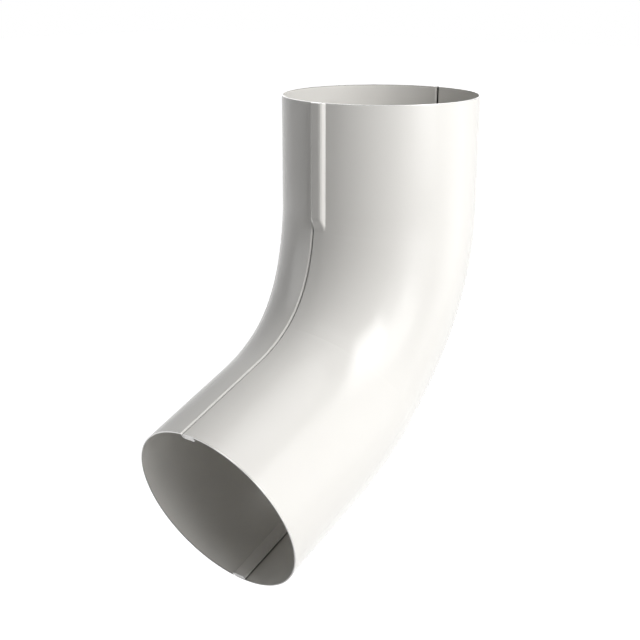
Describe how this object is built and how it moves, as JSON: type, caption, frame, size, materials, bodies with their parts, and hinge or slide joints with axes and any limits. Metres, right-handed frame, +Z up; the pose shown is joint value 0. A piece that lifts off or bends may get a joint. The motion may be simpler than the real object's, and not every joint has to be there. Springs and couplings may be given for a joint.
{
  "type": "round downspout elbow",
  "caption": "Round painted sheet-steel downspout elbow with a socket end and a narrower spigot end, pressed as half shells joined by folded lock seams.",
  "frame": {"origin": "centre of the socket's rim, on the socket's axis", "axes": "+Z runs up the socket's axis and out of its mouth. The tube bends towards -Y, in the YZ plane. The right half shell lies at +X, the left one at -X."},
  "size_m": [0.0892, 0.1748, 0.2006],
  "materials": {
    "white_paint": "semi-gloss white paint on sheet steel"
  },
  "bodies": {
    "root": {"right_half_shell": "white_paint", "left_half_shell": "white_paint"}
  },
  "joints": []
}
